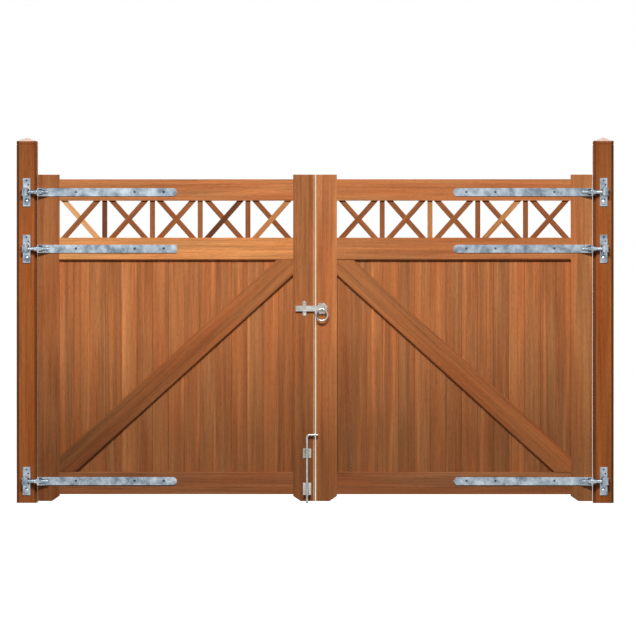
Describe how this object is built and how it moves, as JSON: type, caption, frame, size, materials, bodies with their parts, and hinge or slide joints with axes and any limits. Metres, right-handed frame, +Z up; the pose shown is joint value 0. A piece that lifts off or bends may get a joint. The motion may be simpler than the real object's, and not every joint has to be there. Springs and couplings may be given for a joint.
{
  "type": "wooden double gate",
  "caption": "Hardwood double gate: two framed, boarded and braced leaves with a cross-lattice head, on square posts with strap hinges, ring latch and drop bolt.",
  "frame": {"origin": "centre of the left post's foot, at ground level", "axes": "+X along the gate to the right post, +Y to the rear (the hinge side faces -Y, and the leaves open towards -Y), +Z up"},
  "size_m": [3.22, 0.158, 1.972],
  "materials": {
    "post_timber": "oiled hardwood, planed",
    "frame_timber": "oiled hardwood, planed",
    "board_timber": "oiled hardwood, planed, each board its own tone",
    "lattice_timber": "oiled hardwood, planed",
    "galvanised_steel": "hot-dip galvanised, matt grey spangle",
    "bright_zinc": "bright zinc plating"
  },
  "bodies": {
    "posts": {"left_post": "post_timber", "right_post": "post_timber", "left_top_hinge_bracket": "galvanised_steel", "left_middle_hinge_bracket": "galvanised_steel", "left_bottom_hinge_bracket": "galvanised_steel", "right_top_hinge_bracket": "galvanised_steel", "right_middle_hinge_bracket": "galvanised_steel", "right_bottom_hinge_bracket": "galvanised_steel"},
    "left_leaf": {"left_top_eye_bolt": "galvanised_steel", "left_middle_eye_bolt": "galvanised_steel", "left_bottom_eye_bolt": "galvanised_steel", "left_top_strap": "galvanised_steel", "left_middle_strap": "galvanised_steel", "left_bottom_strap": "galvanised_steel", "left_hinge_stile": "frame_timber", "left_meeting_stile": "frame_timber", "left_top_rail": "frame_timber", "left_lattice_rail": "frame_timber", "left_bottom_rail": "frame_timber", "left_lattice": "lattice_timber", "left_brace": "frame_timber", "left_boards": "board_timber", "closing_bead": "frame_timber", "latch_keeper": "bright_zinc", "bolt_guides": "bright_zinc"},
    "right_leaf": {"right_top_eye_bolt": "galvanised_steel", "right_middle_eye_bolt": "galvanised_steel", "right_bottom_eye_bolt": "galvanised_steel", "right_top_strap": "galvanised_steel", "right_middle_strap": "galvanised_steel", "right_bottom_strap": "galvanised_steel", "right_hinge_stile": "frame_timber", "right_meeting_stile": "frame_timber", "right_top_rail": "frame_timber", "right_lattice_rail": "frame_timber", "right_bottom_rail": "frame_timber", "right_lattice": "lattice_timber", "right_brace": "frame_timber", "right_boards": "board_timber", "latch_roses": "bright_zinc"},
    "drop_bolt": {"drop_bolt": "bright_zinc"},
    "latch": {"latch_bar": "bright_zinc", "latch_spindle": "bright_zinc"},
    "front_ring": {"front_ring": "bright_zinc"},
    "rear_ring": {"rear_ring": "bright_zinc"}
  },
  "joints": [
    {"name": "left_leaf_swing", "type": "hinge", "parent": "posts", "child": "left_leaf", "pos_m": [-0.006, -0.083, 0], "axis": [0, 0, -1], "range_deg": [0, 170]},
    {"name": "right_leaf_swing", "type": "hinge", "parent": "posts", "child": "right_leaf", "pos_m": [3.116, -0.083, 0], "axis": [0, 0, 1], "range_deg": [0, 170]},
    {"name": "drop_bolt_slide", "type": "slide", "parent": "left_leaf", "child": "drop_bolt", "axis": [0, 0, 1], "range_m": [0, 0.04]},
    {"name": "latch_turn", "type": "hinge", "parent": "right_leaf", "child": "latch", "pos_m": [1.592, 0, 1.048], "axis": [0, 1, 0], "range_deg": [0, 25]},
    {"name": "front_ring_flap", "type": "hinge", "parent": "latch", "child": "front_ring", "pos_m": [1.592, -0.08805, 1.045], "axis": [-1, 0, 0], "range_deg": [0, 95]},
    {"name": "rear_ring_flap", "type": "hinge", "parent": "latch", "child": "rear_ring", "pos_m": [1.592, 0.01713, 1.045], "axis": [1, 0, 0], "range_deg": [0, 95]}
  ]
}
